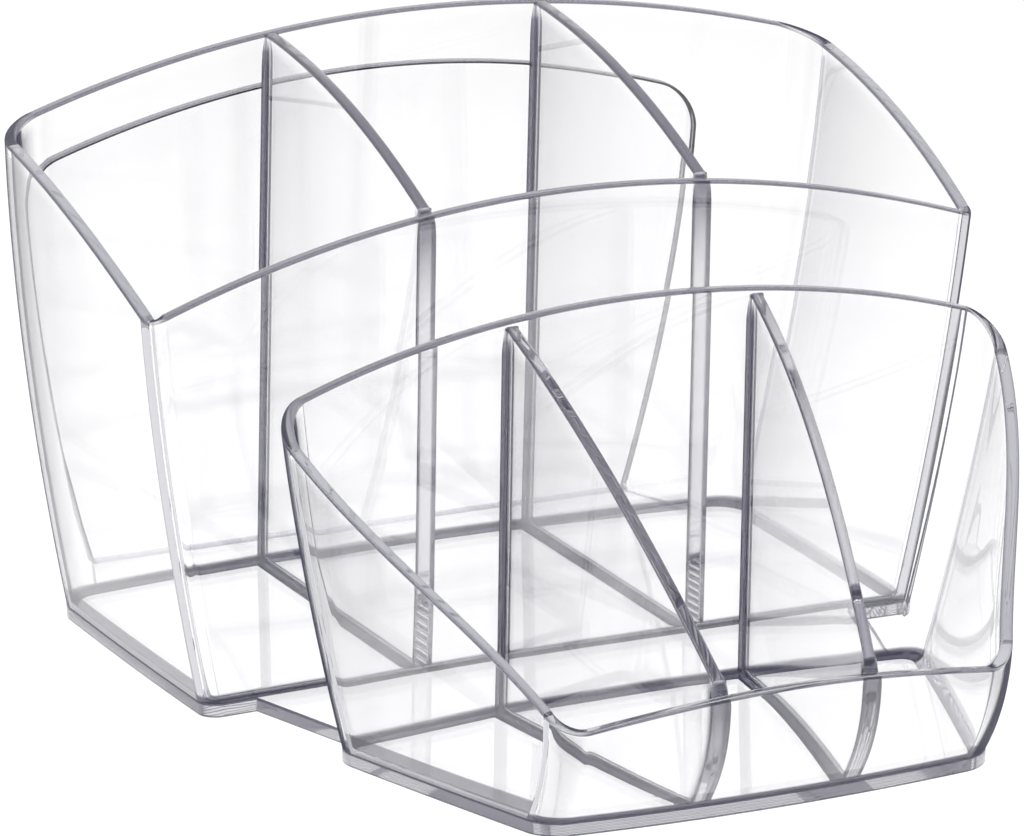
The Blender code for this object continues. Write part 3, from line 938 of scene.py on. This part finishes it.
def back_panel():
    """The flat panel, rounded all round its arched top and tapering sides."""
    stock, detail, look, panel = [settings(kind) for kind in ("stock", "detail", "look", "panel")]
    shoulder = panel.width / 2 - panel.corner
    angles = np.linspace(math.pi / 2, 0.0, detail.corner_columns + 1)[:-1]
    corner_x = shoulder + panel.corner * np.sin(angles)
    corner_drop = panel.corner * (1 - np.cos(angles))
    middle = np.linspace(-shoulder, shoulder, detail.long_columns + 1)
    top_x = np.concatenate([-corner_x, middle, corner_x[::-1]])
    drop = np.concatenate([corner_drop, np.zeros_like(middle), corner_drop[::-1]])

    across_share = 2 * top_x / panel.width
    arch = panel.height - panel.arch * across_share ** 2 - drop
    foot = np.full_like(arch, wall_foot(stock))
    height = climb(foot, arch, stock, detail)
    half = panel.width / 2 - panel.side_inset * taper(height, panel.height - panel.arch,
                                                      panel.side_curve)
    x = across_share * half
    thick = stock.wall + flare(height - foot, stock.fillet)
    outer = np.dstack([x, panel.back_y - thick, height])
    across = np.dstack([np.zeros_like(x), thick, np.zeros_like(x)])

    edge = np.zeros_like(outer)
    along = np.gradient(outer[-1], axis=0)
    edge[-1, :, 0] = -along[:, 2]
    edge[-1, :, 2] = along[:, 0]
    for column, side in ((0, -1), (-1, 1)):
        up = np.gradient(outer[:, column], axis=0)
        edge[:-1, column, 0] = side * up[:-1, 2]
        edge[:-1, column, 2] = -side * up[:-1, 0]
    size = np.linalg.norm(edge, axis=-1)[..., None]
    edge = np.divide(edge, size, out=np.zeros_like(edge), where=size > 0)
    outer -= edge * stock.crown
    # Painted shade near the edges and on the free edges
    gather = strongest(haze(arch - height), haze(half - abs(x)),
                       np.where(size[..., 0] > 0, look.rim, 0.0))
    core = np.full_like(gather, look.rim * look.rim_core)
    plate("back_panel", outer, across, edge, gather, core, np.zeros_like(gather))


def floor_outline():
    """The floor's edge, under the walls and along the ends of both slots."""
    stock, tub, tray, panel = [settings(kind) for kind in ("stock", "tub", "tray", "panel")]
    level = np.array(stock.floor)

    def stretch(box, first, last):
        steps = int((last - first) * settings("detail").floor_steps)
        return list(box.outline(np.linspace(first, last, steps + 1), level))

    front_half, rear_half = tub.half_widths(level)
    front_x = front_half - stock.slot_inset
    rear_x = rear_half - stock.slot_inset
    half = stretch(tray, FRONT_MIDDLE, REAR_START)
    half.append((front_x, tub.face_y("front", front_x, level)))
    half += stretch(tub, FRONT_END, REAR_START)
    half.append((rear_x, tub.face_y("rear", rear_x, level)))
    half.append((panel.width / 2 - panel.side_inset, panel.back_y))
    return [(x, y) for x, y in half] + [(-x, y) for x, y in reversed(half[1:])]


def round_edges(bm, edges, radius, steps):
    """Bevel edges of a mesh with true arcs."""
    bmesh.ops.bevel(bm, geom=edges, offset=radius, segments=steps, profile=ARC_PROFILE,
                    affect="EDGES", clamp_overlap=True)


def floor_plate():
    """One flat plate under everything, its lower edge rounded."""
    stock, detail, look = settings("stock"), settings("detail"), settings("look")
    bm = bmesh.new()
    bm.faces.new([bm.verts.new((x, y, 0.0)) for x, y in floor_outline()])
    extruded = bmesh.ops.extrude_face_region(bm, geom=bm.faces[:])
    raised = {item for item in extruded["geom"] if isinstance(item, bmesh.types.BMVert)}
    bmesh.ops.translate(bm, verts=list(raised), vec=(0.0, 0.0, stock.floor))
    lower = [edge for edge in bm.edges if not raised & set(edge.verts)]
    round_edges(bm, lower, stock.foot_round, detail.round_steps)
    upper = [edge for edge in bm.edges if edge.verts[0] in raised and edge.verts[1] in raised]
    round_edges(bm, upper, stock.floor_bevel, detail.bevel_steps)
    bmesh.ops.recalc_face_normals(bm, faces=bm.faces)
    mesh = bpy.data.meshes.new("floor")
    bm.to_mesh(mesh)
    bm.free()
    mesh.shade_smooth()
    mesh.set_sharp_from_angle(angle=detail.sharp)
    # Painted shade on the floor's upright faces and its rounding
    gather = mesh.attributes.new("gather", "FLOAT", "CORNER")
    for face in mesh.polygons:
        face.use_smooth = len(face.vertices) == 4
        tint = 0.0
        if face.use_smooth:
            upright = abs(face.normal.z) <= UPRIGHT_LIMIT
            tint = look.floor_edge if upright else look.floor_round
        for corner in face.loop_indices:
            gather.data[corner].value = tint
    plain_piece("floor", mesh)


def fresh_bench(owner):
    """A bench for the emptied nodes of a material or a world."""
    owner.use_nodes = True
    owner.node_tree.nodes.clear()
    return Bench(owner.node_tree)


def mix_colour(bench, factor, first, second):
    return bench.add("ShaderNodeMix", {"data_type": "RGBA"},
                     {"Factor": factor, "A": first, "B": second}, output="Result")


def smooth_step(bench, value, start, full, top=1.0):
    """0 up to start, then rising smoothly to its top at full."""
    return bench.add("ShaderNodeMapRange", {"interpolation_type": "SMOOTHSTEP"},
                     {"Value": value, "From Min": start, "From Max": full, "To Max": top})


def clear_material():
    """Clear moulded plastic: polished, and grey violet where light goes a long way, with painted shade on its edges
    and corners and a painted glow at its seams.
    """
    name = "clear_plastic"
    if name in bpy.data.materials:
        return bpy.data.materials[name]
    look = settings("look")
    material = bpy.data.materials.new(name)
    bench = fresh_bench(material)
    ray_depth, shadow_ray, diffuse_ray = bench.add(
        "ShaderNodeLightPath", output=("Ray Depth", "Is Shadow Ray", "Is Diffuse Ray"))
    gather, turn = [bench.add("ShaderNodeAttribute", {"attribute_name": kind}, output="Fac")
                    for kind in ("gather", "turn")]

    # Tinted clear plastic with painted shade mixed into its colour, and a painted glow, an even emitted colour, for
    # light that never gets out
    tint = mix_colour(bench, gather, look.clear, look.edge)
    plastic = bench.add("ShaderNodeBsdfPrincipled",
                        values={"Base Color": tint, "Roughness": 0.0, "IOR": look.ior,
                                "Transmission Weight": 1.0})
    trap_glow = bench.add("ShaderNodeEmission", values={"Color": look.trap})
    lit = bench.add("ShaderNodeMixShader", values=(ray_depth > look.trap_depth, plastic, trap_glow))

    # Painted shade: an opaque dark colour where the painted shade is strong, and on the outline of a rounded corner
    dusk = bench.add("ShaderNodeBsdfPrincipled",
                     values={"Base Color": look.dusk, "Roughness": look.dusk_roughness,
                             "IOR": NO_GLOSS})
    deep = smooth_step(bench, gather, look.dusk_from, look.dusk_full, look.dusk_share)
    # Painted shade on a rounded corner's outline, where it is seen edge on
    facing = bench.add("ShaderNodeLayerWeight", output="Facing")
    outline = smooth_step(bench, facing, look.edge_on, look.edge_full, look.edge_share) * turn
    dark = deep | outline * (ray_depth < look.edge_depth)
    solid = bench.add("ShaderNodeMixShader", values=(dark, lit, dusk))

    # Painted glow: pale emitted light at the seams; next to nothing for shadows and scattered light
    pale = bench.add("ShaderNodeEmission", values={"Color": look.weld})
    seen = bench.add("ShaderNodeMixShader", values=(gather < SEAM_MARK / 2, solid, pale))
    see_through = bench.add("ShaderNodeBsdfTransparent", values={"Color": look.shadow})
    unseen = shadow_ray | diffuse_ray
    surface = bench.add("ShaderNodeMixShader", values=(unseen, seen, see_through))
    volume = bench.add("ShaderNodeVolumeAbsorption",
                       values={"Color": look.depth_tint, "Density": look.density})
    bench.add("ShaderNodeOutputMaterial", values={"Surface": surface, "Volume": volume})
    return material


def seen_by_eye(bench):
    """1 for what the camera sees itself, in gloss or through clear plastic."""
    camera, glossy, through = bench.add("ShaderNodeLightPath", output=(
        "Is Camera Ray", "Is Glossy Ray", "Is Transmission Ray"))
    return camera | glossy | through


def studio_floor():
    """A wide pale disc just under the organizer."""
    studio = settings("studio")
    bpy.ops.mesh.primitive_circle_add(vertices=FLOOR_POINTS, radius=studio.floor_radius,
                                      fill_type="NGON")
    ground = bpy.context.object
    ground.name = "studio_floor"
    material = bpy.data.materials.new("pale_floor")
    bench = fresh_bench(material)
    matt = bench.add("ShaderNodeBsdfDiffuse", values={"Color": studio.floor_white})
    glow = bench.add("ShaderNodeEmission",
                     values={"Color": WHITE, "Strength": seen_by_eye(bench) * studio.floor_glow})
    both = bench.add("ShaderNodeAddShader", values=(matt, glow))
    bench.add("ShaderNodeOutputMaterial", values={"Surface": both})
    ground.data.materials.append(material)
    ground.location.z = -studio.floor_drop
    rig.stage(ground)


def studio_world():
    """Even light, seen as white with a greyer zenith."""
    studio = settings("studio")
    world = bpy.data.worlds.new("studio")
    bpy.context.scene.world = world
    bench = fresh_bench(world)
    direction = bench.add("ShaderNodeTexCoord", output="Generated")
    height = bench.add("ShaderNodeSeparateXYZ", values=(direction,), output="Z")
    over = smooth_step(bench, height, studio.zenith_from, studio.zenith_full)
    sky = mix_colour(bench, over, WHITE, studio.zenith)
    shown = bench.add("ShaderNodeBackground", values={"Color": sky})
    light = bench.add("ShaderNodeBackground",
                      values={"Color": WHITE, "Strength": studio.sky_light})
    both = bench.add("ShaderNodeMixShader", values=(seen_by_eye(bench), light, shown))
    bench.add("ShaderNodeOutputWorld", values={"Surface": both})


def studio_lamp():
    """A soft box to the upper left, turned to the organizer."""
    studio = settings("studio")
    data = bpy.data.lights.new("soft_box", "AREA")
    data.shape = "RECTANGLE"
    data.size = studio.lamp_width
    data.size_y = studio.lamp_depth
    data.energy = studio.lamp_power
    lamp = new_object("soft_box", data)
    lamp.location = studio.lamp_place
    lamp.rotation_euler = (-Vector(studio.lamp_place)).to_track_quat("-Z", "Y").to_euler()


def studio_camera():
    """The photograph's view of the organizer."""
    studio = settings("studio")
    data = bpy.data.cameras.new("camera")
    data.sensor_width = SENSOR_WIDTH
    data.lens = studio.focal_pixels * SENSOR_WIDTH / IMAGE_WIDTH
    camera = new_object("camera", data)
    level = math.cos(studio.elevation)
    back = Vector((-math.sin(studio.azimuth) * level, -math.cos(studio.azimuth) * level,
                   math.sin(studio.elevation)))
    camera.location = Vector(studio.target) + back * studio.distance
    camera.rotation_euler = back.to_track_quat("Z", "Y").to_euler()
    bpy.context.scene.camera = camera


def box_pieces(prefix, box):
    """The four walls and two dividers of the tub or the tray."""
    for wall, first, last in WALLS:
        box_wall(prefix + wall, box, first, last)
    for name, side in (("left_divider", -1), ("right_divider", 1)):
        divider(prefix + name, box, side)


class OBJECT_OT_organizer_tub(bpy.types.Operator):
    """Build the tall box and its two dividers"""

    bl_idname = "object.organizer_tub"
    bl_label = "Tub"

    def execute(self, context):
        box_pieces("tub_", settings("tub"))
        return {"FINISHED"}


class OBJECT_OT_organizer_tray(bpy.types.Operator):
    """Build the low wedge and its two dividers"""

    bl_idname = "object.organizer_tray"
    bl_label = "Tray"

    def execute(self, context):
        box_pieces("tray_", settings("tray"))
        return {"FINISHED"}


class OBJECT_OT_organizer_base(bpy.types.Operator):
    """Build the floor plate and the back panel"""

    bl_idname = "object.organizer_base"
    bl_label = "Floor and back panel"

    def execute(self, context):
        floor_plate()
        back_panel()
        return {"FINISHED"}


class OBJECT_OT_organizer_studio(bpy.types.Operator):
    """Set up the floor, the light and the camera"""

    bl_idname = "object.organizer_studio"
    bl_label = "Studio"

    def execute(self, context):
        studio_floor()
        studio_world()
        studio_lamp()
        studio_camera()
        scene = context.scene
        scene.view_settings.view_transform = "Standard"
        for kind in ("max_bounces", "transmission_bounces", "glossy_bounces",
                     "transparent_max_bounces"):
            setattr(scene.cycles, kind, settings("studio").bounces)
        return {"FINISHED"}


class VIEW3D_PT_organizer(bpy.types.Panel):
    """Sizes, colours and steps of the organizer"""

    bl_label = "Clear desk organizer"
    bl_space_type = "VIEW_3D"
    bl_region_type = "UI"
    bl_category = "Organizer"

    def draw(self, context):
        for operator in OPERATORS:
            self.layout.operator(operator.bl_idname)
        for kind, group in GROUPS.items():
            box = self.layout.box()
            for name in group.__annotations__:
                box.prop(settings(kind), name)


GROUPS = {"stock": OrganizerStock, "tub": OrganizerTub, "tray": OrganizerTray,
          "panel": OrganizerPanel, "detail": OrganizerDetail, "look": OrganizerLook,
          "studio": OrganizerStudio}
OPERATORS = (OBJECT_OT_organizer_base, OBJECT_OT_organizer_tub, OBJECT_OT_organizer_tray,
             OBJECT_OT_organizer_studio)


def register():
    for kind, group in GROUPS.items():
        bpy.utils.register_class(group)
        setattr(bpy.types.Scene, "organizer_" + kind, bpy.props.PointerProperty(type=group))
    for operator in OPERATORS:
        bpy.utils.register_class(operator)
    bpy.utils.register_class(VIEW3D_PT_organizer)


def unregister():
    bpy.utils.unregister_class(VIEW3D_PT_organizer)
    for operator in reversed(OPERATORS):
        bpy.utils.unregister_class(operator)
    for kind, group in GROUPS.items():
        delattr(bpy.types.Scene, "organizer_" + kind)
        bpy.utils.unregister_class(group)


def main():
    register()
    bpy.ops.object.organizer_base()
    bpy.ops.object.organizer_tub()
    bpy.ops.object.organizer_tray()
    bpy.ops.object.organizer_studio()
    sizes = {"cad": CAD_BOX, "visual": [list(corner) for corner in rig.bounds()]}
    with open("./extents.json", "w") as file:
        json.dump(sizes, file)


if __name__ == "__main__":
    main()
